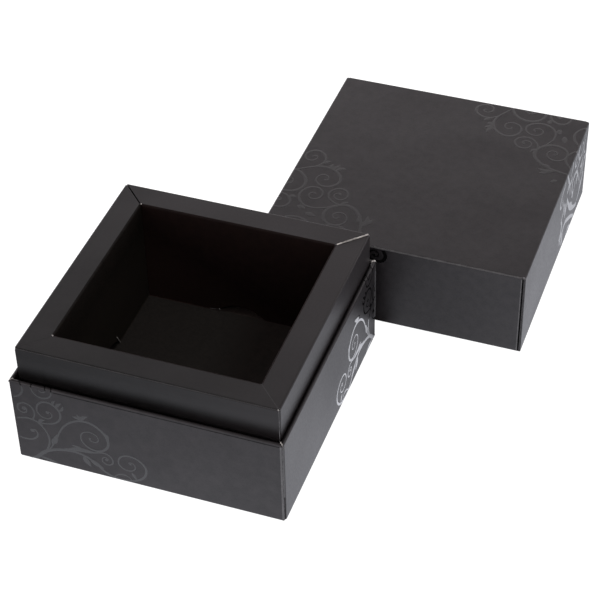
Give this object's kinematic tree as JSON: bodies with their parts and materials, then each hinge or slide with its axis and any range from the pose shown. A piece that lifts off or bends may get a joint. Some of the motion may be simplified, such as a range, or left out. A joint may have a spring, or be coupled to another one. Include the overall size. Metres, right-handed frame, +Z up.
{
  "type": "flower arrangement gift box",
  "caption": "Square two-part shoulder box of thin black card: tray, raised mitred frame insert and a lift-off lid, for a small flower arrangement.",
  "frame": {"origin": "centre of the tray's underside, on the surface that the box stands on", "axes": "+Z up, +X to the right along the tray's front edge, +Y to the rear, where the lid stands"},
  "size_m": [0.1849, 0.251, 0.06],
  "materials": {
    "black_card": "satin"
  },
  "bodies": {
    "tray": {"tray_bottom": "black_card", "tray_front_inner_wall": "black_card", "tray_front_left_flap": "black_card", "tray_front_right_flap": "black_card", "tray_front_rim": "black_card", "tray_front_wall": "black_card", "tray_left_inner_wall": "black_card", "tray_left_rim": "black_card", "tray_left_wall": "black_card", "tray_rear_inner_wall": "black_card", "tray_rear_left_flap": "black_card", "tray_rear_right_flap": "black_card", "tray_rear_rim": "black_card", "tray_rear_wall": "black_card", "tray_right_inner_wall": "black_card", "tray_right_rim": "black_card", "tray_right_wall": "black_card"},
    "insert": {"insert_floor": "black_card", "insert_front_collar": "black_card", "insert_front_frame": "black_card", "insert_front_inner_wall": "black_card", "insert_front_left_flap": "black_card", "insert_front_right_flap": "black_card", "insert_left_collar": "black_card", "insert_left_frame": "black_card", "insert_left_inner_wall": "black_card", "insert_rear_collar": "black_card", "insert_rear_frame": "black_card", "insert_rear_inner_wall": "black_card", "insert_rear_left_flap": "black_card", "insert_rear_right_flap": "black_card", "insert_right_collar": "black_card", "insert_right_frame": "black_card", "insert_right_inner_wall": "black_card"},
    "lid": {"lid_front_inner_wall": "black_card", "lid_front_left_flap": "black_card", "lid_front_right_flap": "black_card", "lid_front_rim": "black_card", "lid_front_wall": "black_card", "lid_left_inner_wall": "black_card", "lid_left_rim": "black_card", "lid_left_wall": "black_card", "lid_rear_inner_wall": "black_card", "lid_rear_left_flap": "black_card", "lid_rear_right_flap": "black_card", "lid_rear_rim": "black_card", "lid_rear_wall": "black_card", "lid_right_inner_wall": "black_card", "lid_right_rim": "black_card", "lid_right_wall": "black_card", "lid_top": "black_card"}
  },
  "joints": [
    {"name": "insert_lift", "type": "slide", "parent": "tray", "child": "insert", "axis": [0, 0, 1], "range_m": [0, 0.05]},
    {"name": "lid_lift", "type": "slide", "parent": "tray", "child": "lid", "axis": [0, 0, 1], "range_m": [0, 0.07]}
  ]
}
